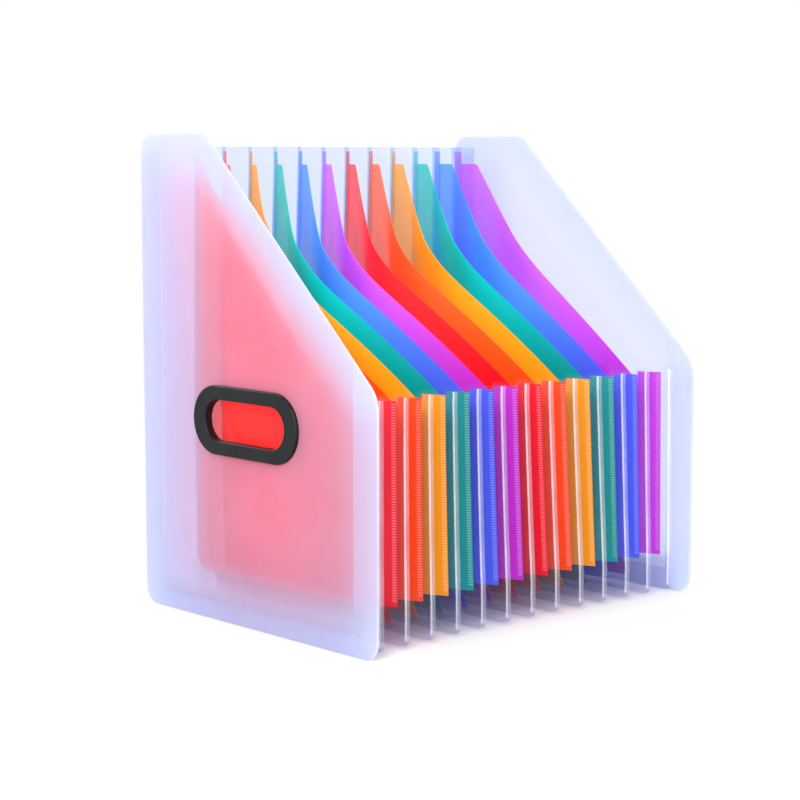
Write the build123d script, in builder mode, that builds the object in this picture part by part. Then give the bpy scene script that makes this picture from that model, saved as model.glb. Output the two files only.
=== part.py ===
from build123d import *
from math import hypot
import os

os.makedirs("parts", exist_ok=True)

# Accordion file folder, in millimetres. X runs from the left cover to the right one, -Y is the low
# front, +Y the tall back and Z is up. Z = 0 is the table that the covers stand on.

# Covers
cover_height = 315.0
cover_depth = 235.0
cover_front_height = 160.0
cover_top_length = 70.0
cover_thickness = 1.2
cover_corner_radius = 12.0
cover_slope_radius = 20.0

# Pockets
pocket_count = 13
pocket_pitch = 22.2

# Divider sheets
sheet_thickness = 0.5
sheet_top = 295.0
sheet_front_top = 149.0
sheet_top_length = 23.0
sheet_top_radius = 3.0

# Flanges: the folded margins of a sheet
flange_width = 17.5
flange_rise = 5.0
flange_back_rise = 9.0
flange_notch = 1.6
flange_mitre = 10.0

# Bellows film
film_thickness = 0.4
film_front_top = 156.5
film_back_top = 307.0
pleat_depth = 22.0
pleat_recess = 8.5
pleat_clearance = 2.0
crest_half_width = 1.3
fold_radius = 3.0

# Flaps of the first and last pleat, welded inside the covers
flap_edge_gap = 1.0
flap_width = 20.5

# Carrying rings
ring_length = 105.0
ring_height = 45.0
ring_hole_length = 80.0
ring_hole_height = 27.0
ring_thickness = 2.4
ring_round = 1.0
ring_y = 7.0
ring_z = 132.0
neck_wall = 3.0
neck_clearance = 0.2
clip_border = 6.0
clip_thickness = 1.6
clip_round = 0.5
lip_overlap = 0.5
lip_thickness = 0.6

# Derived places
half_span = pocket_count * pocket_pitch / 2
half_depth = cover_depth / 2
fold_y = half_depth - pleat_recess - pleat_depth
fold_z = pleat_clearance + pleat_depth
corner_y = fold_y - fold_radius
corner_z = fold_z + fold_radius
flap_start = pleat_recess + pleat_depth - flap_edge_gap - flap_width
flange_front_top = sheet_front_top + flange_rise
flange_back_top = sheet_top + flange_back_rise
neck_length = ring_hole_length + 2 * neck_wall
neck_height = ring_hole_height + 2 * neck_wall
slot_length = neck_length + 2 * neck_clearance
slot_height = neck_height + 2 * neck_clearance
flank_slope = (pleat_depth - film_thickness) / (pocket_pitch / 2 - crest_half_width)
flank_stretch = hypot(1, flank_slope)


def divider_x(number):
    """X of the middle of divider 1, 2, ... 12."""
    return -half_span + number * pocket_pitch


def keep(part, name):
    """Labels a finished sub-part and writes its STEP file."""
    part.label = name
    export_step(part, f"parts/{name}.step")


# Covers

def make_cover(side):
    """One cover with its slot for the ring's neck; side is -1 for the left cover and 1 for the right."""
    outline = [
        (half_depth, 0),
        (half_depth, cover_height),
        (half_depth - cover_top_length, cover_height),
        (-half_depth, cover_front_height),
        (-half_depth, 0),
    ]
    with BuildPart() as cover:
        with BuildSketch(Plane.YZ.offset(side * half_span)) as plate:
            with BuildLine():
                Polyline(*outline, close=True)
            make_face()
            slope_end = plate.vertices().sort_by_distance((-half_depth, cover_front_height))[0]
            fillet(slope_end, cover_slope_radius)
            others = outline[:3] + outline[4:]
            fillet([plate.vertices().sort_by_distance(corner)[0] for corner in others], cover_corner_radius)
            with Locations((ring_y, ring_z)):
                SlotOverall(slot_length, slot_height, mode=Mode.SUBTRACT)
        extrude(amount=side * cover_thickness)
    return cover.part


keep(make_cover(-1), "left_cover")
keep(make_cover(1), "right_cover")


# Carrying rings

def make_ring(side):
    """Outer ring: a rim outside the cover, a neck through cover and clip, and a lip behind the clip."""
    outer_face = side * (half_span + cover_thickness)
    with BuildPart() as ring:
        with BuildSketch(Plane.YZ.offset(outer_face)):
            with Locations((ring_y, ring_z)):
                SlotOverall(ring_length, ring_height)
                SlotOverall(ring_hole_length, ring_hole_height, mode=Mode.SUBTRACT)
        extrude(amount=side * ring_thickness)
        rim_edges = ring.edges().filter_by_position(
            Axis.X, outer_face + side * ring_thickness, outer_face + side * ring_thickness
        )
        fillet(rim_edges, ring_round)
        with BuildSketch(Plane.YZ.offset(outer_face)):
            with Locations((ring_y, ring_z)):
                SlotOverall(neck_length, neck_height)
                SlotOverall(ring_hole_length, ring_hole_height, mode=Mode.SUBTRACT)
        extrude(amount=-side * (cover_thickness + clip_thickness))
        with BuildSketch(Plane.YZ.offset(side * (half_span - clip_thickness))):
            with Locations((ring_y, ring_z)):
                SlotOverall(neck_length + 2 * lip_overlap, neck_height + 2 * lip_overlap)
                SlotOverall(ring_hole_length, ring_hole_height, mode=Mode.SUBTRACT)
        extrude(amount=-side * lip_thickness)
    return ring.part


def make_clip(side):
    """Inner clip ring: sits on the cover's inner face, tight on the neck."""
    inner_face = side * half_span
    far_face = inner_face - side * clip_thickness
    with BuildPart() as clip:
        with BuildSketch(Plane.YZ.offset(inner_face)):
            with Locations((ring_y, ring_z)):
                SlotOverall(neck_length + 2 * clip_border, neck_height + 2 * clip_border)
                SlotOverall(neck_length, neck_height, mode=Mode.SUBTRACT)
        extrude(amount=-side * clip_thickness)
        far_edges = clip.faces().filter_by_position(Axis.X, far_face, far_face)[0].outer_wire().edges()
        fillet(far_edges, clip_round)
    return clip.part


keep(make_ring(-1), "left_handle_ring")
keep(make_clip(-1), "left_handle_clip")
keep(make_ring(1), "right_handle_ring")
keep(make_clip(1), "right_handle_clip")


# Divider sheets

def make_divider(number):
    """A flat sheet from fold to fold, with the same slope as the covers."""
    outline = [
        (fold_y, fold_z),
        (fold_y, sheet_top),
        (fold_y - sheet_top_length, sheet_top),
        (-fold_y, sheet_front_top),
        (-fold_y, fold_z),
    ]
    with BuildPart() as divider:
        with BuildSketch(Plane.YZ.offset(divider_x(number) - sheet_thickness / 2)) as sheet:
            with BuildLine():
                Polyline(*outline, close=True)
            make_face()
            low = [sheet.vertices().sort_by_distance(corner)[0] for corner in (outline[0], outline[4])]
            fillet(low, fold_radius)
            slope_start = sheet.vertices().sort_by_distance(outline[2])[0]
            fillet(slope_start, sheet_top_radius)
        extrude(amount=sheet_thickness)
    return divider.part


# Sections that run down the front, under the bottom and up the back. They are drawn as (x, outward)
# points, with outward counted from the fold lines of the sheets.

def front_plane(z):
    """Section plane on the front fold line; its Y is -outward."""
    return Plane(origin=(0, -fold_y, z), x_dir=(1, 0, 0), z_dir=(0, 0, 1))


def back_plane(z):
    """Section plane on the back fold line; its Y is outward."""
    return Plane(origin=(0, fold_y, z), x_dir=(1, 0, 0), z_dir=(0, 0, 1))


def bottom_plane(y):
    """Section plane on the bottom fold line; its Y is outward, which is down."""
    return Plane(origin=(0, y, fold_z), x_dir=(1, 0, 0), z_dir=(0, 1, 0))


def section(plane, points, outward_sign):
    """A face with these (x, outward) corners on one of the section planes."""
    with BuildSketch(plane) as profile:
        with BuildLine():
            Polyline(*[(x, outward_sign * n) for x, n in points], close=True)
        make_face()
    return profile.sketch


def make_flange(number):
    """The three folded margins of one sheet, each against the film's pocket side, with mitred bottom ends."""
    def along(distance, depth):
        """Point this far from the fold along the flank and this deep into the pocket."""
        x = (distance + depth * flank_slope) / flank_stretch
        n = (distance * flank_slope - depth) / flank_stretch
        return (fold_x + x, n)

    fold_x = divider_x(number)
    face_x = fold_x + sheet_thickness / 2
    root = flank_slope * sheet_thickness / 2
    strip = [
        (face_x, root),
        along(flange_width, 0),
        along(flange_width, sheet_thickness),
        (face_x, root - sheet_thickness * flank_stretch),
    ]
    tab = [
        along(flange_notch, 0),
        along(flange_width, 0),
        along(flange_width, sheet_thickness),
        along(flange_notch, sheet_thickness),
    ]
    with BuildPart() as flange:
        extrude(section(front_plane(corner_z), strip, -1), amount=sheet_front_top - corner_z)
        extrude(section(front_plane(sheet_front_top), tab, -1), amount=flange_rise)
        extrude(section(back_plane(corner_z), strip, 1), amount=sheet_top - corner_z)
        extrude(section(back_plane(sheet_top), tab, 1), amount=flange_back_rise)
        extrude(section(bottom_plane(-corner_y), strip, 1), amount=2 * corner_y)
        for end in (-1, 1):
            corner = [
                (end * corner_y, fold_z),
                (end * corner_y, fold_z - flange_width),
                (end * (corner_y - flange_mitre), fold_z - flange_width),
            ]
            with BuildSketch(Plane.YZ.offset(fold_x)):
                with BuildLine():
                    Polyline(*corner, close=True)
                make_face()
            extrude(amount=pocket_pitch, mode=Mode.SUBTRACT)
    return flange.part


# Bellows film

def flank(end_x, end_n, crest_x):
    """Pocket-side and outer points of one flank, from its end to its crest, one film thickness apart."""
    inward = 1 if crest_x > end_x else -1
    run = abs(crest_x - end_x) - crest_half_width
    slope = (pleat_depth - film_thickness - end_n) / run
    stretch = hypot(1, slope)
    wider = film_thickness * (stretch - 1) / slope
    inner = [(end_x, end_n), (crest_x - inward * crest_half_width, pleat_depth - film_thickness)]
    outer = [
        (end_x, end_n + film_thickness * stretch),
        (crest_x - inward * (crest_half_width + wider), pleat_depth),
    ]
    return inner, outer


def mitre_plane(side, facing):
    """The slanted plane of a lower corner; side is -1 at the front and 1 at the back, facing is 1 for up."""
    return Plane(origin=(0, side * fold_y, fold_z), x_dir=(1, 0, 0), z_dir=(0, side * facing, facing))


def mitred_leg(profile, length, *mitres):
    """A straight run of film, cut off by these planes."""
    with BuildPart() as leg:
        extrude(profile, amount=length)
        for plane in mitres:
            split(bisect_by=plane, keep=Keep.TOP)
    return leg.part


def make_pleat(number):
    """One pleat of film, between divider number - 1 and divider number, or a cover at either end."""
    left_x, right_x = divider_x(number - 1), divider_x(number)
    crest_x = (left_x + right_x) / 2
    first, last = number == 1, number == pocket_count
    left_end = (left_x + film_thickness, flap_start) if first else (left_x, 0)
    right_end = (right_x - film_thickness, flap_start) if last else (right_x, 0)
    left_inner, left_outer = flank(*left_end, crest_x)
    right_inner, right_outer = flank(*right_end, crest_x)
    outline = left_inner + right_inner[::-1] + right_outer + left_outer[::-1]
    front = section(front_plane(0), outline, -1)
    bottom = section(bottom_plane(-half_depth), outline, 1)
    back = section(back_plane(0), outline, 1)
    with BuildPart() as pleat:
        add(mitred_leg(front, film_front_top, mitre_plane(-1, 1)))
        add(mitred_leg(bottom, cover_depth, mitre_plane(-1, -1), mitre_plane(1, -1)))
        add(mitred_leg(back, film_back_top, mitre_plane(1, 1)))
        if first or last:
            side = -1 if first else 1
            edge, inside = half_depth - flap_edge_gap, half_depth - flap_edge_gap - flap_width
            band = [
                (-edge, film_front_top),
                (-edge, flap_edge_gap),
                (edge, flap_edge_gap),
                (edge, film_back_top - cover_corner_radius),
                (inside, film_back_top),
                (inside, flap_edge_gap + flap_width),
                (-inside, flap_edge_gap + flap_width),
                (-inside, film_front_top),
            ]
            with BuildSketch(Plane.YZ.offset(side * half_span)) as flap:
                with BuildLine():
                    Polyline(*band, close=True)
                make_face()
                low = [flap.vertices().sort_by_distance(corner)[0] for corner in (band[1], band[2])]
                fillet(low, cover_corner_radius)
            extrude(amount=-side * film_thickness)
    return pleat.part


for number in range(1, pocket_count):
    keep(make_divider(number), f"divider_{number:02d}")
    keep(make_flange(number), f"divider_flange_{number:02d}")

for number in range(1, pocket_count + 1):
    keep(make_pleat(number), f"bellows_pleat_{number:02d}")
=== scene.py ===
import math

import bpy
import numpy as np
from mathutils import Matrix, Vector


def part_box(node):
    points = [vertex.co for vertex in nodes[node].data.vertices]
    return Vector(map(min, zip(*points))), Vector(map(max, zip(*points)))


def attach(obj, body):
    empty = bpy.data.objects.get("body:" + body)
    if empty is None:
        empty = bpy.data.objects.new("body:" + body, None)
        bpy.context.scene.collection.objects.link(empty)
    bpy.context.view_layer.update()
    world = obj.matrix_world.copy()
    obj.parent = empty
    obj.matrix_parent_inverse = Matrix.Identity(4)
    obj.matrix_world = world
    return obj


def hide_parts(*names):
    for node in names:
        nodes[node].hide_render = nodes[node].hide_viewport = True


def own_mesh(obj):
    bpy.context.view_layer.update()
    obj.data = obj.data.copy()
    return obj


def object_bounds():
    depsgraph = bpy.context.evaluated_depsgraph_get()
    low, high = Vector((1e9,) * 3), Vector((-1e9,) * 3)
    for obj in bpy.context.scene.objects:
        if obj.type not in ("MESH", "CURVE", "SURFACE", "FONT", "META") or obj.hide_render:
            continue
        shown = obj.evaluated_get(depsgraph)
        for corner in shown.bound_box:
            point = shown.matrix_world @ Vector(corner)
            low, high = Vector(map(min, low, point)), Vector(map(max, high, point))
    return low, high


# Looks of the accordion file folder, in metres and in the CAD frame: X runs from the left cover to
# the right one, -Y is the low front and Z is up.

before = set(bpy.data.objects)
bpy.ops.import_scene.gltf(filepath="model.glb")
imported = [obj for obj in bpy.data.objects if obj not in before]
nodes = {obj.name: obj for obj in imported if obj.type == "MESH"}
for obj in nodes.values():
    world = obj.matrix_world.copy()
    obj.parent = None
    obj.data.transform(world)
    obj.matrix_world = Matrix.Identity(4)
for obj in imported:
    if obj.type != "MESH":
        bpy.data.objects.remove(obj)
cad_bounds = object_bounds()
scene = bpy.context.scene
MM = 0.001

# Places read from the CAD nodes

sheet_low, sheet_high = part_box("divider_01")
pleat_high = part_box("bellows_pleat_02")[1]
margin_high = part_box("divider_flange_01")[1]
cover_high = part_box("left_cover")[1]
POCKETS = sum(name.startswith("bellows_pleat") for name in nodes)
SHEETS = POCKETS - 1
LEFT_FACE = cover_high.x
RIGHT_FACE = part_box("right_cover")[0].x
SPAN = RIGHT_FACE - LEFT_FACE
PITCH = SPAN / POCKETS
FOLD_Y = sheet_high.y
FOLD_Z = sheet_low.z
SHEET_TOP = sheet_high.z
FILM_BACK_TOP = pleat_high.z
MARGIN_BACK_TOP = margin_high.z
COVER_TOP = cover_high.z
HALF_DEPTH = cover_high.y
PLEAT_DEPTH = pleat_high.y - FOLD_Y

# Sizes that follow part.py

SHEET_FRONT_TOP = 149 * MM
SHEET_TOP_LENGTH = 23 * MM
SHEET_THICKNESS = 0.5 * MM
MARGIN_FRONT_TOP = 154 * MM
MARGIN_WIDTH = 17.5 * MM
MARGIN_NOTCH = 1.6 * MM
MARGIN_MITRE = 10 * MM
FILM_THICKNESS = 0.4 * MM
FILM_FRONT_TOP = 156.5 * MM
CREST_HALF_WIDTH = 1.3 * MM
FOLD_RADIUS = 3 * MM
FLAP_START = 9 * MM
FLAP_GAP = 1 * MM
FLAP_WIDTH = 20.5 * MM
COVER_RADIUS = 12 * MM
COVER_FRONT_HEIGHT = 160 * MM
COVER_TOP_LENGTH = 70 * MM
CORNER_Y = FOLD_Y - FOLD_RADIUS
CORNER_Z = FOLD_Z + FOLD_RADIUS

# How the flexible pieces settle. The bellies are the bulges of the open sheets, the leans shift the
# folds sideways, the front is drawn back, and the back pleats are shallower away from the covers.

BELLY = 44 * MM
BELLY_RISE = 200 * MM
BELLY_LIMIT = 1.1
BELLY_SPREAD = 0.6
BELLY_SOFTNESS = 2.5 * MM
FIRST_BELLY = 17.5 * MM
BELLY_GROWTH = 10 * MM
RIDGE_Y = -3 * MM
RIDGE_ROUND = 16 * MM
LEAN = 5 * MM
TOP_LEAN = 6 * MM
TOP_LEAN_SKEW = 0.7
FOOT_LEAN = 5 * MM
FOOT_LEAN_SKEW = 2
PULL_BACK = 5 * MM
BACK_OPENING = 0.27
BACK_OPENING_SPREAD = 1.6

# How finely the meshes are divided

SHEET_ROWS = 40
SHEET_COLUMNS = 56
FRONT_STEPS = 16
BOTTOM_STEPS = 16
BACK_STEPS = 22
FLANK_STEPS = 5
FLAP_CORNER_STEPS = 8
MARGIN_STEPS = 24
MARGIN_COLUMNS = 6
DOT_SIDES = 10


def sheet_x(number):
    """X of a sheet's folds; 0 is the left cover's inner face and 13 the right one's."""
    return LEFT_FACE + number * PITCH


# Colours and materials

def srgb(red, green, blue):
    """A linear colour from 0 to 255 screen values."""
    def linear(value):
        value /= 255
        return value / 12.92 if value <= 0.04045 else ((value + 0.055) / 1.055) ** 2.4
    return (linear(red), linear(green), linear(blue), 1)


# Each sheet's lit colour, used at the rear, and a darker, fuller copy of painted shade for light that has
# passed through the sheets, which takes over towards the front

SHEET_COLOURS = {
    "red": (srgb(255, 66, 64), srgb(236, 10, 36)),
    "orange": (srgb(255, 126, 62), srgb(248, 84, 12)),
    "amber": (srgb(255, 190, 38), srgb(250, 174, 8)),
    "teal": (srgb(0, 216, 206), srgb(0, 166, 156)),
    "blue": (srgb(98, 176, 255), srgb(88, 106, 232)),
    "purple": (srgb(228, 116, 252), srgb(208, 50, 208)),
}
COLOUR_ORDER = list(SHEET_COLOURS)


def new_material(name):
    """A material with an empty node tree, its output and a node maker."""
    material = bpy.data.materials.new(name)
    material.use_nodes = True
    tree = material.node_tree
    tree.nodes.clear()
    output = tree.nodes.new("ShaderNodeOutputMaterial")

    def add(kind, **values):
        """A new node with these values for its inputs or its settings."""
        node = tree.nodes.new(kind)
        for key, value in values.items():
            if key in node.inputs:
                node.inputs[key].default_value = value
            else:
                setattr(node, key, value)
        return node

    return material, tree, output, add


# Most values of a noise lie between these two.

NOISE_LOW = 0.3
NOISE_HIGH = 0.7


def noise_range(tree, add, place, scale, low, high):
    """A noise at this scale, spread from low to high."""
    noise = add("ShaderNodeTexNoise", Scale=scale, Detail=4.0)
    spread = add("ShaderNodeMapRange")
    spread.inputs["From Min"].default_value = NOISE_LOW
    spread.inputs["From Max"].default_value = NOISE_HIGH
    spread.inputs["To Min"].default_value = low
    spread.inputs["To Max"].default_value = high
    tree.links.new(place.outputs["Object"], noise.inputs["Vector"])
    tree.links.new(noise.outputs["Fac"], spread.inputs["Value"])
    return spread.outputs["Result"]


def fine_bump(tree, add, place, scale, strength, distance):
    """A bump from a fine noise."""
    noise = add("ShaderNodeTexNoise", Scale=scale, Detail=3.0)
    bump = add("ShaderNodeBump", Strength=strength, Distance=distance)
    tree.links.new(place.outputs["Object"], noise.inputs["Vector"])
    tree.links.new(noise.outputs["Fac"], bump.inputs["Height"])
    return bump.outputs["Normal"]


def mix_shaders(tree, add, share, first, second):
    """Shares two shaders; share is a number or a socket and goes to the second."""
    mix = add("ShaderNodeMixShader")
    if isinstance(share, float):
        mix.inputs["Fac"].default_value = share
    else:
        tree.links.new(share, mix.inputs["Fac"])
    tree.links.new(first, mix.inputs[1])
    tree.links.new(second, mix.inputs[2])
    return mix.outputs["Shader"]


def maths(tree, add, operation, first, second):
    """A maths node; each input is a number or a socket."""
    node = add("ShaderNodeMath", operation=operation)
    for socket, value in zip(node.inputs, (first, second)):
        if isinstance(value, (int, float)):
            socket.default_value = value
        else:
            tree.links.new(value, socket)
    return node.outputs[0]


def ramp(tree, add, value, start, end):
    """A smooth 0 to 1 as a value goes from start to end."""
    spread = add("ShaderNodeMapRange", interpolation_type="SMOOTHSTEP")
    spread.inputs["From Min"].default_value = start
    spread.inputs["From Max"].default_value = end
    tree.links.new(value, spread.inputs["Value"])
    return spread.outputs["Result"]


def parts_of(tree, add, place):
    """The x, y and z of a place as sockets."""
    split = add("ShaderNodeSeparateXYZ")
    tree.links.new(place.outputs["Object"], split.inputs[0])
    return split.outputs["X"], split.outputs["Y"], split.outputs["Z"]


WHITE = (1, 1, 1, 1)


def whiter(colour, share):
    """A colour taken this far towards white."""
    return tuple(a + (b - a) * share for a, b in zip(colour, WHITE))


# Divider sheets: from the middle forward the darker, fuller colour of painted shade takes over, and towards
# the rear a sheet is easier to see through. The ranges are along Y.

PAINTED_SHADE_RANGE = (-5 * MM, -85 * MM)
REAR_RANGE = (18 * MM, 46 * MM)
REAR_CLEAR = 0.36
VIEW_PALENESS = 0.58
SHEET_GLOW = 0.45


def sheet_material(name, colour, painted_shade_colour, clear, rough):
    """Tinted translucent sheet with a satin surface whose lit colour turns to a painted-shade colour
    towards the front; clear is the share that is seen straight through.
    """
    material, tree, output, add = new_material(name)
    place = add("ShaderNodeTexCoord")
    y = parts_of(tree, add, place)[1]
    tint = add("ShaderNodeMix", data_type="RGBA")
    tint.inputs["A"].default_value = colour
    tint.inputs["B"].default_value = painted_shade_colour
    # Painted shade: the lit colour gives way to the darker shade colour towards the front.
    front = ramp(tree, add, y, *PAINTED_SHADE_RANGE)
    uneven = noise_range(tree, add, place, scale=14, low=-0.06, high=0.06)
    tree.links.new(maths(tree, add, "ADD", front, uneven), tint.inputs["Factor"])
    surface = add("ShaderNodeBsdfPrincipled")
    surface.inputs["Specular IOR Level"].default_value = 0.2
    tree.links.new(tint.outputs["Result"], surface.inputs["Base Color"])
    worn = noise_range(tree, add, place, scale=60, low=rough - 0.05, high=rough + 0.05)
    tree.links.new(worn, surface.inputs["Roughness"])
    grain = fine_bump(tree, add, place, scale=900, strength=0.03, distance=0.2 * MM)
    tree.links.new(grain, surface.inputs["Normal"])
    through = add("ShaderNodeBsdfTranslucent")
    tree.links.new(tint.outputs["Result"], through.inputs["Color"])
    view = add("ShaderNodeBsdfTransparent", Color=whiter(colour, VIEW_PALENESS))
    body = mix_shaders(tree, add, SHEET_GLOW, surface.outputs["BSDF"], through.outputs["BSDF"])
    rear = ramp(tree, add, y, *REAR_RANGE)
    share = maths(tree, add, "ADD", maths(tree, add, "MULTIPLY", rear, REAR_CLEAR), clear)
    tree.links.new(mix_shaders(tree, add, share, body, view.outputs["BSDF"]), output.inputs["Surface"])
    return material


# Bellows film. Its gloss grows from square on to a grazing view.

FILM_COLOUR = srgb(226, 232, 250)
FILM_TINT = srgb(252, 253, 255)
# The back film's bluish tint is painted light: the backdrop's cast seen through it, while the film itself
# is clear.
BACKDROP_CAST_TINT = srgb(240, 245, 255)
# The foot film is greyer: painted shade for where the film turns under the folder in the shade of its own
# folds.
FOOT_SHADE_TINT = srgb(243, 243, 248)
SQUARE_GLOSS = 0.005
GRAZING_GLOSS = 0.08
GLOSS_POWER = 4.0
ROUGH_SPREAD = 0.3
HAZE_SPREAD = 0.25


def film_material(name, colour, tint, haze, rough):
    """Clear glossy film; haze is the share of light that its milky body stops."""
    material, tree, output, add = new_material(name)
    place = add("ShaderNodeTexCoord")
    normal = fine_bump(tree, add, place, scale=70, strength=0.04, distance=1 * MM)
    milk = add("ShaderNodeBsdfPrincipled")
    milk.inputs["Base Color"].default_value = colour
    low, high = rough * (1 - ROUGH_SPREAD), rough * (1 + ROUGH_SPREAD)
    tree.links.new(noise_range(tree, add, place, 45, low, high), milk.inputs["Roughness"])
    tree.links.new(normal, milk.inputs["Normal"])
    view = add("ShaderNodeBsdfTransparent", Color=tint)
    low, high = haze * (1 - HAZE_SPREAD), haze * (1 + HAZE_SPREAD)
    share = noise_range(tree, add, place, 30, low, high)
    body = mix_shaders(tree, add, share, view.outputs["BSDF"], milk.outputs["BSDF"])
    gloss = add("ShaderNodeBsdfGlossy", Color=WHITE, Roughness=rough)
    tree.links.new(normal, gloss.inputs["Normal"])
    facing = add("ShaderNodeLayerWeight", Blend=0.5)
    shine = maths(tree, add, "POWER", facing.outputs["Facing"], GLOSS_POWER)
    shine = maths(tree, add, "ADD", maths(tree, add, "MULTIPLY", shine, GRAZING_GLOSS), SQUARE_GLOSS)
    tree.links.new(mix_shaders(tree, add, shine, body, gloss.outputs["BSDF"]), output.inputs["Surface"])
    return material


# Covers: frosted plastic shows what lies close behind it. The ranges set where the next sheet is taken
# to come close: below the slope, along Y from the back and from the front, and up from the foot.

COVER_BODY = srgb(200, 210, 242)
COVER_LIGHT = srgb(230, 235, 250)
COVER_VIEW = srgb(248, 250, 255)
SLOPE_START_Y = HALF_DEPTH - COVER_TOP_LENGTH
COVER_SLOPE = (COVER_TOP - COVER_FRONT_HEIGHT) / (SLOPE_START_Y + HALF_DEPTH)
NEAR_SLOPE_RANGE = (-8 * MM, 48 * MM)
NEAR_BACK_RANGE = (84 * MM, 42 * MM)
NEAR_FRONT_RANGE = (-165 * MM, -75 * MM)
NEAR_FOOT_RANGE = (6 * MM, 44 * MM)
NEAR_CLEAR = 0.46
FLAP_CLOUDING = 0.45
FLAP_EDGE_BLUR = 0.4 * MM
COVER_GLOW = 0.74


def nearness(tree, add, place):
    """From 0 to 1, how near the next sheet is taken to lie behind a cover."""
    _, y, z = parts_of(tree, add, place)
    along = maths(tree, add, "SUBTRACT", SLOPE_START_Y, y)
    edge = maths(tree, add, "SUBTRACT", COVER_TOP, maths(tree, add, "MULTIPLY", along, COVER_SLOPE))
    near = ramp(tree, add, maths(tree, add, "SUBTRACT", edge, z), *NEAR_SLOPE_RANGE)
    for value, limits in ((y, NEAR_BACK_RANGE), (z, NEAR_FOOT_RANGE), (y, NEAR_FRONT_RANGE)):
        near = maths(tree, add, "MULTIPLY", near, ramp(tree, add, value, *limits))
    return near


def flap_share(tree, add, place):
    """1 where a flap of film is welded to a cover's inner face and 0 elsewhere, with a crisp edge."""
    _, y, z = parts_of(tree, add, place)
    reach = FLAP_GAP + FLAP_WIDTH
    inside = HALF_DEPTH - reach
    across = maths(tree, add, "ABSOLUTE", y, 0)
    sides = ramp(tree, add, across, inside - FLAP_EDGE_BLUR, inside + FLAP_EDGE_BLUR)
    foot = ramp(tree, add, z, reach + FLAP_EDGE_BLUR, reach - FLAP_EDGE_BLUR)
    return maths(tree, add, "MAXIMUM", sides, foot)


def cover_material():
    """Frosted plate: a milky body with a matt grain, clearer near a sheet and cloudier at a flap."""
    material, tree, output, add = new_material("frosted_cover")
    place = add("ShaderNodeTexCoord")
    surface = add("ShaderNodeBsdfPrincipled")
    surface.inputs["Base Color"].default_value = COVER_BODY
    worn = noise_range(tree, add, place, scale=80, low=0.42, high=0.55)
    tree.links.new(worn, surface.inputs["Roughness"])
    grain = fine_bump(tree, add, place, scale=1400, strength=0.04, distance=0.2 * MM)
    tree.links.new(grain, surface.inputs["Normal"])
    through = add("ShaderNodeBsdfTranslucent", Color=COVER_LIGHT)
    view = add("ShaderNodeBsdfTransparent", Color=COVER_VIEW)
    body = mix_shaders(tree, add, COVER_GLOW, surface.outputs["BSDF"], through.outputs["BSDF"])
    clear = noise_range(tree, add, place, scale=25, low=0.18, high=0.22)
    near = maths(tree, add, "MULTIPLY", nearness(tree, add, place), NEAR_CLEAR)
    clear = maths(tree, add, "ADD", clear, near)
    clouding = maths(tree, add, "MULTIPLY", flap_share(tree, add, place), FLAP_CLOUDING)
    clear = maths(tree, add, "MULTIPLY", clear, maths(tree, add, "SUBTRACT", 1, clouding))
    tree.links.new(mix_shaders(tree, add, clear, body, view.outputs["BSDF"]), output.inputs["Surface"])
    return material


RING_DARK = srgb(10, 12, 14)
RING_LIGHT = srgb(18, 21, 24)


def ring_material():
    """Satin black moulded plastic."""
    material, tree, output, add = new_material("black_ring")
    place = add("ShaderNodeTexCoord")
    tint = add("ShaderNodeMix", data_type="RGBA")
    tint.inputs["A"].default_value = RING_DARK
    tint.inputs["B"].default_value = RING_LIGHT
    tree.links.new(noise_range(tree, add, place, scale=60, low=0, high=1), tint.inputs["Factor"])
    surface = add("ShaderNodeBsdfPrincipled")
    surface.inputs["Specular IOR Level"].default_value = 0.2
    tree.links.new(tint.outputs["Result"], surface.inputs["Base Color"])
    worn = noise_range(tree, add, place, scale=220, low=0.34, high=0.46)
    tree.links.new(worn, surface.inputs["Roughness"])
    grain = fine_bump(tree, add, place, scale=1800, strength=0.12, distance=0.2 * MM)
    tree.links.new(grain, surface.inputs["Normal"])
    tree.links.new(surface.outputs["BSDF"], output.inputs["Surface"])
    return material


COVER = cover_material()
RING = ring_material()
FILM = film_material("clear_film", FILM_COLOUR, FILM_TINT, haze=0.005, rough=0.14)
CREST = film_material("film_crest", srgb(242, 245, 255), FILM_TINT, haze=0.06, rough=0.18)
CREASE = film_material("film_crease", srgb(250, 251, 255), FILM_TINT, haze=0.18, rough=0.25)
# The back film carries a painted bluish backdrop cast.
BACK_FILM = film_material("film_back", FILM_COLOUR, BACKDROP_CAST_TINT, haze=0.02, rough=0.2)
# The foot film carries painted shade.
SHADED_FOOT_FILM = film_material("film_foot_shade", FILM_COLOUR, FOOT_SHADE_TINT, haze=0.012, rough=0.2)
# Each sheet look runs from its lit colour to its painted-shade colour; the weld marks are paler copies of
# both.
SHEET_LOOKS = {
    name: sheet_material(f"{name}_sheet", colour, full, clear=0.26, rough=0.36)
    for name, (colour, full) in SHEET_COLOURS.items()
}
WELD_LOOKS = {
    name: sheet_material(f"{name}_weld", whiter(colour, 0.3), whiter(full, 0.2), clear=0.10, rough=0.30)
    for name, (colour, full) in SHEET_COLOURS.items()
}


# Mesh makers

BLOCK_TAPER = 0.6


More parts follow.
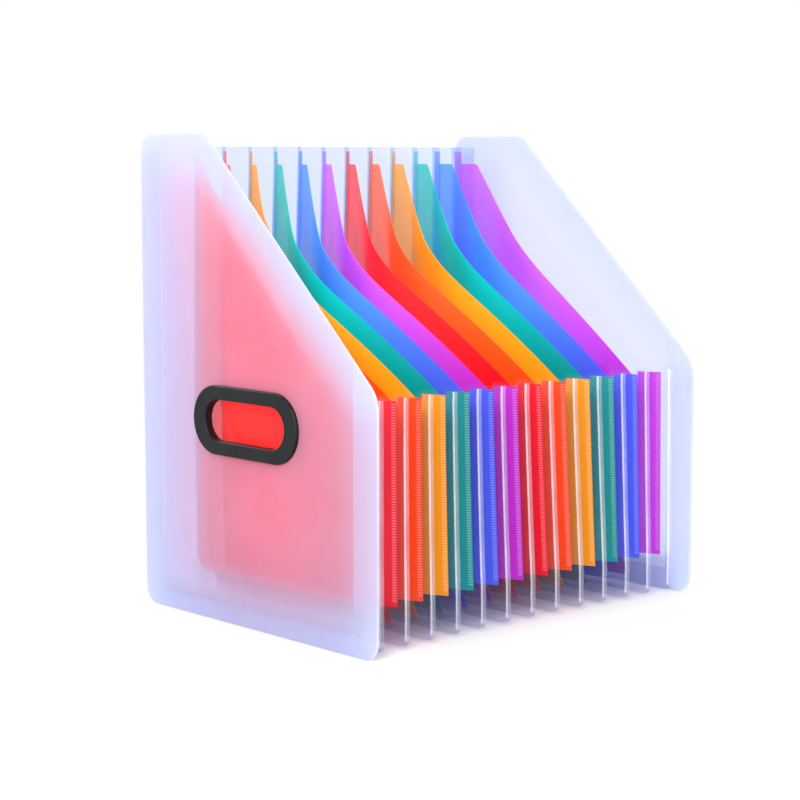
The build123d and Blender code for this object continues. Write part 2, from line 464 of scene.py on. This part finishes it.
class Shape:
    """Points, faces and each face's material slot, gathered before a mesh is made."""

    def __init__(self):
        self.points = []
        self.faces = []
        self.slots = []

    def add(self, points, faces, slots):
        """Takes in points, the faces among them and the faces' slots."""
        start = len(self.points)
        self.points += [tuple(p) for p in points]
        self.faces += [tuple(start + i for i in face) for face in faces]
        self.slots += slots

    def sheet(self, rows, thickness, slot_of=None):
        """A closed sheet of this thickness about a grid of points; slot_of names a slot by row, column."""
        grid = np.array(rows, float)
        count, width = grid.shape[:2]
        normal = np.cross(np.gradient(grid, axis=1), np.gradient(grid, axis=0))
        normal /= np.linalg.norm(normal, axis=2, keepdims=True)
        sides = [grid + normal * thickness / 2, grid - normal * thickness / 2]
        points = np.concatenate([side.reshape(-1, 3) for side in sides])
        other = count * width
        faces, slots = [], []
        for r in range(count - 1):
            for c in range(width - 1):
                corners = [r * width + c, r * width + c + 1, (r + 1) * width + c + 1, (r + 1) * width + c]
                faces += [corners, [other + i for i in reversed(corners)]]
                slots += [slot_of(r, c) if slot_of else 0] * 2
        rim = list(range(width))
        rim += [r * width + width - 1 for r in range(1, count)]
        rim += [(count - 1) * width + c for c in range(width - 2, -1, -1)]
        rim += [r * width for r in range(count - 2, 0, -1)]
        for a, b in zip(rim, rim[1:] + rim[:1]):
            faces.append([b, a, other + a, other + b])
            slots.append(0)
        self.add(points, faces, slots)

    def block(self, centre, axes, sizes, slot):
        """A small block with tapered ends; the axes go along, across and up from the middle of its base."""
        along, across, up = axes
        length, width, height = sizes
        points = []
        for level, share in ((0, 1), (height, BLOCK_TAPER)):
            for a, b in ((-1, -1), (1, -1), (1, 1), (-1, 1)):
                sideways = along * a * share * length / 2 + across * b * width / 2
                points.append(centre + sideways + up * level)
        faces = [(3, 2, 1, 0), (4, 5, 6, 7), (0, 1, 5, 4), (1, 2, 6, 5), (2, 3, 7, 6), (3, 0, 4, 7)]
        self.add(points, faces, [slot] * 6)

    def plate(self, outline, near, far):
        """A prism between two X values with this (y, z) outline."""
        count = len(outline)
        points = [(x, y, z) for x in (near, far) for y, z in outline]
        faces = [list(range(count)), list(range(2 * count - 1, count - 1, -1))]
        for i in range(count):
            j = (i + 1) % count
            faces.append([j, i, count + i, count + j])
        self.add(points, faces, [0] * len(faces))

    def object(self, name, materials, centre, sharp_angle):
        """The finished object, with its origin at this point."""
        mesh = bpy.data.meshes.new(name)
        shift = Vector(centre)
        mesh.from_pydata([tuple(Vector(p) - shift) for p in self.points], [], self.faces)
        for material in materials:
            mesh.materials.append(material)
        mesh.polygons.foreach_set("material_index", self.slots)
        mesh.shade_smooth()
        mesh.set_sharp_from_angle(angle=math.radians(sharp_angle))
        mesh.update()
        made = bpy.data.objects.new(name, mesh)
        made.location = shift
        scene.collection.objects.link(made)
        return made


def limited(value):
    """A value kept between 0 and 1."""
    return min(max(value, 0), 1)


def settle(point):
    """Where a point of the bellows or of a sheet's folds comes to rest: the middle leans and draws back."""
    x, y, z = point
    across = limited((x - LEFT_FACE) / SPAN)
    hump = math.sin(math.pi * across)
    rise = limited((z - FOLD_Z) / (SHEET_FRONT_TOP - FOLD_Z))
    full_rise = limited((z - FOLD_Z) / (SHEET_TOP - FOLD_Z))
    front = limited(-y / FOLD_Y)
    beyond_back = max(y - FOLD_Y, 0)
    x += FOOT_LEAN * math.sin(math.pi * across ** FOOT_LEAN_SKEW) * (1 - rise) - LEAN * hump * rise
    x += TOP_LEAN * math.sin(math.pi * across ** TOP_LEAN_SKEW) * full_rise ** 2
    y += PULL_BACK * hump * front - BACK_OPENING * limited(BACK_OPENING_SPREAD * hump) * beyond_back
    return (x, y, z)


# The path of the folds: down the front, under the bottom and up the back. A station is a point of
# the fold path and the outward direction there, both as (y, z).

def front_leg(top, low, steps):
    """Stations down the front, at even steps."""
    return [((-FOLD_Y, top + (low - top) * i / steps), (-1, 0)) for i in range(steps + 1)]


def back_leg(low, top, steps):
    """Stations up the back, at even steps."""
    return [((FOLD_Y, low + (top - low) * i / steps), (1, 0)) for i in range(steps + 1)]


def bottom_leg(start, end, steps):
    """Stations under the bottom, at even steps."""
    return [((start + (end - start) * i / steps, FOLD_Z), (0, -1)) for i in range(steps + 1)]


# Outward directions round a square lower corner with its edge slightly rounded, as (sideways, down).

MITRE_TURNS = ((1, 0.66), (0.985, 0.83), (0.94, 0.94), (0.83, 0.985), (0.66, 1))


def mitre(side):
    """The lower corner between two legs; side is -1 at the front and 1 at the back."""
    stations = [((side * FOLD_Y, FOLD_Z), (side * across, -down)) for across, down in MITRE_TURNS]
    return stations if side < 0 else stations[::-1]


def at(station, x, outward):
    """The point this far outward from a station, at this X, settled."""
    (y, z), (dy, dz) = station
    return settle((x, y + outward * dy, z + outward * dz))


# Bellows film

FLANK_RUN = PITCH / 2 - CREST_HALF_WIDTH
FLANK_SLOPE = PLEAT_DEPTH / FLANK_RUN
CREASE_WIDTH = 0.5 * MM
CREST_CROWN = 0.1 * MM
FILM_LOOKS = [FILM, CREST, CREASE, BACK_FILM, SHADED_FOOT_FILM]
FLANK_SLOT, CREST_SLOT, CREASE_SLOT, BACK_SLOT, FOOT_SHADE_SLOT = range(len(FILM_LOOKS))

# The least downward turn of a station on a lower corner, and on the bottom itself

CORNER_TURN = 0.3
BOTTOM_TURN = 0.9


def film_profile(number):
    """(x, outward) points across one pleat, with the slot of each strip between them."""
    left, right = sheet_x(number - 1), sheet_x(number)
    crest = (left + right) / 2
    half = FILM_THICKNESS / 2
    depth = PLEAT_DEPTH - half
    start = (left + half, FLAP_START) if number == 1 else (left, half)
    end = (right - half, FLAP_START) if number == POCKETS else (right, half)
    edge = CREST_HALF_WIDTH
    crease_depth = depth - CREASE_WIDTH * FLANK_SLOPE
    crown = depth + CREST_CROWN
    points = [start]
    slots = []

    def run(target, steps, slot):
        """Goes on in even steps to a point, with strips of this slot."""
        x, n = points[-1]
        for i in range(1, steps + 1):
            points.append((x + (target[0] - x) * i / steps, n + (target[1] - n) * i / steps))
            slots.append(slot)

    run((crest - edge - CREASE_WIDTH, crease_depth), FLANK_STEPS, FLANK_SLOT)
    run((crest - edge, depth), 1, CREASE_SLOT)
    run((crest - edge / 3, crown), 1, CREST_SLOT)
    run((crest + edge / 3, crown), 1, CREST_SLOT)
    run((crest + edge, depth), 1, CREST_SLOT)
    run((crest + edge + CREASE_WIDTH, crease_depth), 1, CREST_SLOT)
    run(end, FLANK_STEPS, FLANK_SLOT)
    return points, slots


def film_stations():
    """The whole way round: front leg, bottom and back leg."""
    front = front_leg(FILM_FRONT_TOP, CORNER_Z, FRONT_STEPS)
    bottom = bottom_leg(-CORNER_Y, CORNER_Y, BOTTOM_STEPS)
    back = back_leg(CORNER_Z, FILM_BACK_TOP, BACK_STEPS)
    return front + mitre(-1) + bottom + mitre(1) + back


def flap_outline():
    """(y, z) corners of the flap band that is welded inside a cover."""
    edge = HALF_DEPTH - FLAP_GAP
    inside = edge - FLAP_WIDTH
    inside_z = FLAP_GAP + FLAP_WIDTH
    radius = COVER_RADIUS
    outline = [(-edge, FILM_FRONT_TOP)]
    for side in (-1, 1):
        for i in range(FLAP_CORNER_STEPS + 1):
            share = i / FLAP_CORNER_STEPS
            turn = math.pi / 2 * (share if side < 0 else 1 - share)
            y = side * (edge - radius + radius * math.cos(turn))
            outline.append((y, FLAP_GAP + radius - radius * math.sin(turn)))
    outline += [(edge, FILM_BACK_TOP - radius), (inside, FILM_BACK_TOP)]
    outline += [(inside, inside_z), (-inside, inside_z), (-inside, FILM_FRONT_TOP)]
    return outline


def make_film(number):
    """The film of one pocket, with its flap at either end of the bellows."""
    points, slots = film_profile(number)
    stations = film_stations()
    shape = Shape()
    rows = [[at(station, x, n) for x, n in points] for station in stations]

    def slot_of(row, column):
        """Crest and crease lines on the front and over the lower corners, back film with its painted
        backdrop cast at the back, and foot film with painted shade over the rest of the corners and the
        bottom.
        """
        (y, _), (_, outward_z) = stations[row]
        downward = max(-outward_z, -stations[row + 1][1][1])
        if downward < CORNER_TURN:
            return slots[column] if y < 0 else BACK_SLOT
        on_line = slots[column] != FLANK_SLOT
        return slots[column] if on_line and downward < BOTTOM_TURN else FOOT_SHADE_SLOT

    shape.sheet(rows, FILM_THICKNESS, slot_of)
    if number == 1:
        shape.plate(flap_outline(), LEFT_FACE, LEFT_FACE + FILM_THICKNESS)
    if number == POCKETS:
        shape.plate(flap_outline(), RIGHT_FACE - FILM_THICKNESS, RIGHT_FACE)
    middle = (sheet_x(number) - PITCH / 2, 0, FOLD_Z)
    film = shape.object(f"film_{number:02d}", FILM_LOOKS, middle, sharp_angle=35)
    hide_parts(f"bellows_pleat_{number:02d}")
    if number == POCKETS:
        body, anchor = "right_cover", RIGHT_FACE
    else:
        body = "left_cover" if number == 1 else f"divider_{number - 1:02d}"
        anchor = sheet_x(number - 1)
    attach(film, body)
    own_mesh(film)


# Divider sheets

def belly(number, y, z):
    """How far a sheet bulges to the left here: nothing at its folds, most at a soft ridge half-way back.

    The free bulge is full up to the middle of the folder and smaller towards the right cover. Near the
    left cover the room there limits it.
    """
    across = max(number / POCKETS, 0.5)
    end = FOLD_Y if y > RIDGE_Y else -FOLD_Y
    along = 1 - ridge_fall(y) / ridge_fall(end)
    height = min((z - FOLD_Z) / BELLY_RISE, BELLY_LIMIT)
    free = BELLY * (4 * across * (1 - across)) ** BELLY_SPREAD * along * height
    room = FIRST_BELLY + BELLY_GROWTH * (number - 1)
    return -BELLY_SOFTNESS * math.log(math.exp(-free / BELLY_SOFTNESS) + math.exp(-room / BELLY_SOFTNESS))


def ridge_fall(y):
    """How far the bulge has fallen off at this distance from its rounded ridge."""
    return math.hypot(y - RIDGE_Y, RIDGE_ROUND) - RIDGE_ROUND


def sheet_edge(y):
    """Height of a sheet's top edge: level at the rear, then down the slope."""
    slope_start = FOLD_Y - SHEET_TOP_LENGTH
    fall = (SHEET_TOP - SHEET_FRONT_TOP) / (slope_start + FOLD_Y)
    return min(SHEET_TOP, SHEET_TOP - (slope_start - y) * fall)


def sheet_colour(number):
    """The name of a sheet's colour; the six colours come round twice."""
    return COLOUR_ORDER[(number - 1) % len(COLOUR_ORDER)]


def make_sheet(number):
    """One divider between its folds."""
    colour = sheet_colour(number)
    x = sheet_x(number)
    rows = []
    for j in range(SHEET_ROWS + 1):
        row = []
        for i in range(SHEET_COLUMNS + 1):
            y = -FOLD_Y + 2 * FOLD_Y * i / SHEET_COLUMNS
            z = FOLD_Z + (sheet_edge(y) - FOLD_Z) * j / SHEET_ROWS
            sx, sy, sz = settle((x, y, z))
            row.append((sx - belly(number, y, z), sy, sz))
        rows.append(row)
    shape = Shape()
    shape.sheet(rows, SHEET_THICKNESS)
    middle = (x, 0, (FOLD_Z + SHEET_TOP) / 2)
    sheet = shape.object(f"sheet_{number:02d}", [SHEET_LOOKS[colour]], middle, sharp_angle=40)
    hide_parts(f"divider_{number:02d}")
    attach(sheet, f"divider_{number:02d}")
    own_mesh(sheet)


# Folded margins of the sheets, with their weld seams

WELD_PITCH = 1.65 * MM
WELD_LENGTH = 0.8 * MM
WELD_WIDTH = 2.8 * MM
WELD_HEIGHT = 0.16 * MM
WELD_INSET = 0.4 * MM
WELD_END = 2 * MM
MARGIN_GAP = 0.5 * MM
MARGIN_START = 0.2 * MM
NOTCH_SIDES = (0.98, 1.02)
FLANK_LENGTH = math.hypot(1, FLANK_SLOPE)


def margin_point(number, station, distance, depth):
    """A point this far from the fold along the flank and this deep into the pocket."""
    x = sheet_x(number) + (distance + depth * FLANK_SLOPE) / FLANK_LENGTH
    n = (distance * FLANK_SLOPE - depth) / FLANK_LENGTH
    return at(station, x, n)


def add_margin(shape, number, stations, top_of=None):
    """One strip along these stations; its edge at the fold ends at the height top_of, below the rest."""
    distances = [MARGIN_START] + [MARGIN_NOTCH * share for share in NOTCH_SIDES]
    step = (MARGIN_WIDTH - MARGIN_NOTCH) / MARGIN_COLUMNS
    distances += [MARGIN_NOTCH + step * i for i in range(1, MARGIN_COLUMNS + 1)]
    rows = []
    for station in stations:
        row = []
        for distance in distances:
            place = station
            if top_of is not None and distance < MARGIN_NOTCH:
                (y, z), outward = station
                place = ((y, min(z, top_of)), outward)
            row.append(margin_point(number, place, distance, MARGIN_GAP))
        rows.append(row)
    shape.sheet(rows, SHEET_THICKNESS)


def add_welds(shape, number, stations):
    """A ladder of small weld marks along these stations."""
    middle = MARGIN_WIDTH - WELD_INSET - WELD_WIDTH / 2
    face = MARGIN_GAP - SHEET_THICKNESS / 2
    for station, following in zip(stations, stations[1:]):
        here = Vector(margin_point(number, station, middle, face))
        ahead = Vector(margin_point(number, following, middle, face))
        edge = Vector(margin_point(number, station, MARGIN_WIDTH, face))
        above = Vector(margin_point(number, station, middle, face - MM))
        along = (ahead - here).normalized()
        across = (edge - here).normalized()
        up = (above - here).normalized()
        shape.block(here, (along, across, up), (WELD_LENGTH, WELD_WIDTH, WELD_HEIGHT), 1)


def make_margin(number):
    """The front, bottom and back margins of one sheet."""
    colour = sheet_colour(number)
    shape = Shape()
    bottom_end = CORNER_Y - MARGIN_MITRE
    legs = [
        (front_leg, MARGIN_FRONT_TOP, CORNER_Z, SHEET_FRONT_TOP),
        (bottom_leg, -bottom_end, bottom_end, None),
        (back_leg, CORNER_Z, MARGIN_BACK_TOP, SHEET_TOP),
    ]
    for leg, start, end, notch_at in legs:
        add_margin(shape, number, leg(start, end, MARGIN_STEPS), notch_at)
        welds = int((abs(end - start) - 2 * WELD_END) / WELD_PITCH)
        inset = WELD_END if end > start else -WELD_END
        add_welds(shape, number, leg(start + inset, end - inset, welds))
    looks = [SHEET_LOOKS[colour], WELD_LOOKS[colour]]
    middle = (sheet_x(number), 0, FOLD_Z)
    margin = shape.object(f"margin_{number:02d}", looks, middle, sharp_angle=40)
    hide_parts(f"divider_flange_{number:02d}")
    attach(margin, f"divider_{number:02d}")
    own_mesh(margin)


# Weld dots along the foot of each cover

DOT_RADIUS = 0.8 * MM
DOT_HEIGHT = 0.22 * MM
DOT_PITCH = 11 * MM
DOT_ROWS = (6 * MM, 13.3 * MM)
DOT_REACH = 99 * MM

# A dot's shoulder and rim, as shares of its radius and height

DOT_PROFILE = ((0.6, 0.75), (1, 0))


def make_dots(side):
    """Two rows of low domes on a cover's outer face; side is -1 on the left and 1 on the right."""
    name = "left" if side < 0 else "right"
    low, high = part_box(f"{name}_cover")
    face = low.x if side < 0 else high.x
    shape = Shape()
    for z in DOT_ROWS:
        for step in range(int(2 * DOT_REACH / DOT_PITCH) + 1):
            y = -DOT_REACH + step * DOT_PITCH
            points = [(face + side * DOT_HEIGHT, y, z)]
            for radius, height in DOT_PROFILE:
                for i in range(DOT_SIDES):
                    turn = 2 * math.pi * i / DOT_SIDES
                    points.append((
                        face + side * DOT_HEIGHT * height,
                        y + DOT_RADIUS * radius * math.cos(turn),
                        z + DOT_RADIUS * radius * math.sin(turn),
                    ))
            faces = [list(range(2 * DOT_SIDES, DOT_SIDES, -1))]
            for i in range(DOT_SIDES):
                j = (i + 1) % DOT_SIDES
                faces += [[0, 1 + i, 1 + j], [1 + i, DOT_SIDES + 1 + i, DOT_SIDES + 1 + j, 1 + j]]
            if side < 0:
                faces = [corners[::-1] for corners in faces]
            shape.add(points, faces, [0] * len(faces))
    dots = shape.object(f"{name}_weld_dots", [COVER], (face, 0, 0), sharp_angle=60)
    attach(dots, f"{name}_cover")


for number in range(1, POCKETS + 1):
    make_film(number)

for number in range(1, SHEETS + 1):
    make_sheet(number)
    make_margin(number)

for side in (-1, 1):
    make_dots(side)

for name in ("left", "right"):
    for piece, look in (("cover", COVER), ("handle_ring", RING), ("handle_clip", RING)):
        materials = nodes[f"{name}_{piece}"].data.materials
        materials.clear()
        materials.append(look)


# Stage and light

PHOTO_WIDTH = 800
CAMERA_PLACE = (-0.93535, -0.99877, 0.30186)
CAMERA_AZIMUTH = math.radians(-42.52)
CAMERA_ELEVATION = math.radians(6.90)
FOCAL_PIXELS = 2029.3


def make_camera():
    """A camera at the photograph's viewing angle."""
    data = bpy.data.cameras.new("photo_camera")
    data.sensor_width = 36
    data.lens = data.sensor_width * FOCAL_PIXELS / PHOTO_WIDTH
    data.clip_start = 0.01
    camera = bpy.data.objects.new("photo_camera", data)
    a, e = CAMERA_AZIMUTH, CAMERA_ELEVATION
    back = Vector((math.sin(a) * math.cos(e), -math.cos(a) * math.cos(e), math.sin(e)))
    right = Vector((math.cos(a), math.sin(a), 0))
    up = back.cross(right)
    turned = Matrix((right, up, back)).transposed().to_4x4()
    camera.matrix_world = Matrix.Translation(CAMERA_PLACE) @ turned
    scene.collection.objects.link(camera)
    scene.camera = camera


def seen_directly(tree):
    """A socket that is 1 for camera, glossy and clear transmission rays, and 0 for scattered light."""
    path = tree.nodes.new("ShaderNodeLightPath").outputs

    def combine(operation, first, second):
        """A maths node on two sockets."""
        node = tree.nodes.new("ShaderNodeMath")
        node.operation = operation
        tree.links.new(first, node.inputs[0])
        tree.links.new(second, node.inputs[1])
        return node.outputs[0]

    clear = combine("GREATER_THAN", path["Is Transmission Ray"], path["Is Diffuse Ray"])
    seen = combine("MAXIMUM", path["Is Camera Ray"], path["Is Glossy Ray"])
    return combine("MAXIMUM", seen, clear)


WORLD_LIGHT = 0.8


def make_world():
    """White where it is seen, and a plain soft light elsewhere."""
    world = bpy.data.worlds.new("studio")
    scene.world = world
    world.use_nodes = True
    tree = world.node_tree
    tree.nodes.clear()
    output = tree.nodes.new("ShaderNodeOutputWorld")
    shown = tree.nodes.new("ShaderNodeBackground")
    shown.inputs["Strength"].default_value = 1
    light = tree.nodes.new("ShaderNodeBackground")
    light.inputs["Strength"].default_value = WORLD_LIGHT
    mix = tree.nodes.new("ShaderNodeMixShader")
    for background in (shown, light):
        background.inputs["Color"].default_value = WHITE
    tree.links.new(seen_directly(tree), mix.inputs["Fac"])
    tree.links.new(light.outputs[0], mix.inputs[1])
    tree.links.new(shown.outputs[0], mix.inputs[2])
    tree.links.new(mix.outputs[0], output.inputs["Surface"])


FLOOR_REACH = 12
FLOOR_COLOUR = (0.66, 0.65, 0.66, 1)
FLOOR_BESIDE = 0.9
BESIDE_RANGE = (-20 * MM, 15 * MM)
AWAY_RANGE = (0.3, 1.5)


def make_floor():
    """A pale floor that keeps the shadow under the folder and looks white beside it and further away."""
    mesh = bpy.data.meshes.new("floor")
    corners = [(FLOOR_REACH * a, FLOOR_REACH * b, 0) for a, b in ((-1, -1), (1, -1), (1, 1), (-1, 1))]
    mesh.from_pydata(corners, [], [(0, 1, 2, 3)])
    floor = bpy.data.objects.new("floor", mesh)
    scene.collection.objects.link(floor)
    material, tree, output, add = new_material("floor")
    surface = add("ShaderNodeBsdfDiffuse", Color=FLOOR_COLOUR)
    white = add("ShaderNodeEmission", Color=WHITE, Strength=1.0)
    place = add("ShaderNodeTexCoord")
    distance = add("ShaderNodeVectorMath", operation="LENGTH")
    tree.links.new(place.outputs["Object"], distance.inputs[0])
    x, y, _ = parts_of(tree, add, place)
    sides = []
    for value, half in ((x, cad_bounds[1].x), (y, cad_bounds[1].y)):
        side = maths(tree, add, "ABSOLUTE", value, 0)
        sides.append(maths(tree, add, "SUBTRACT", side, half))
    beside = ramp(tree, add, maths(tree, add, "MAXIMUM", *sides), *BESIDE_RANGE)
    away = ramp(tree, add, distance.outputs["Value"], *AWAY_RANGE)
    near_white = maths(tree, add, "MULTIPLY", beside, FLOOR_BESIDE)
    far_white = maths(tree, add, "MULTIPLY", away, 1 - FLOOR_BESIDE)
    white_share = maths(tree, add, "ADD", near_white, far_white)
    share = maths(tree, add, "MULTIPLY", white_share, seen_directly(tree))
    shader = mix_shaders(tree, add, share, surface.outputs["BSDF"], white.outputs["Emission"])
    tree.links.new(shader, output.inputs["Surface"])
    mesh.materials.append(material)


LAMP_AIM = (0, 0, 0.15)


def make_lamp(name, place, size, power):
    """A square soft lamp that faces the folder."""
    data = bpy.data.lights.new(name, "AREA")
    data.size = size
    data.energy = power
    lamp = bpy.data.objects.new(name, data)
    lamp.location = place
    lamp.rotation_euler = (Vector(LAMP_AIM) - Vector(place)).to_track_quat("-Z", "Y").to_euler()
    scene.collection.objects.link(lamp)


make_camera()
make_world()
make_floor()
make_lamp("key", (-1.85, -1.2, 1.5), 1.0, 66)
make_lamp("fill", (0.1, -1.9, 0.7), 1.2, 28)
make_lamp("rear", (0.15, 1.7, 1.3), 1.4, 40)
make_lamp("side", (-1.7, -0.3, 0.12), 0.6, 14)

scene.view_settings.view_transform = "Standard"
scene.cycles.transparent_max_bounces = 72
scene.cycles.max_bounces = 10
scene.cycles.transmission_bounces = 8
scene.cycles.diffuse_bounces = 5
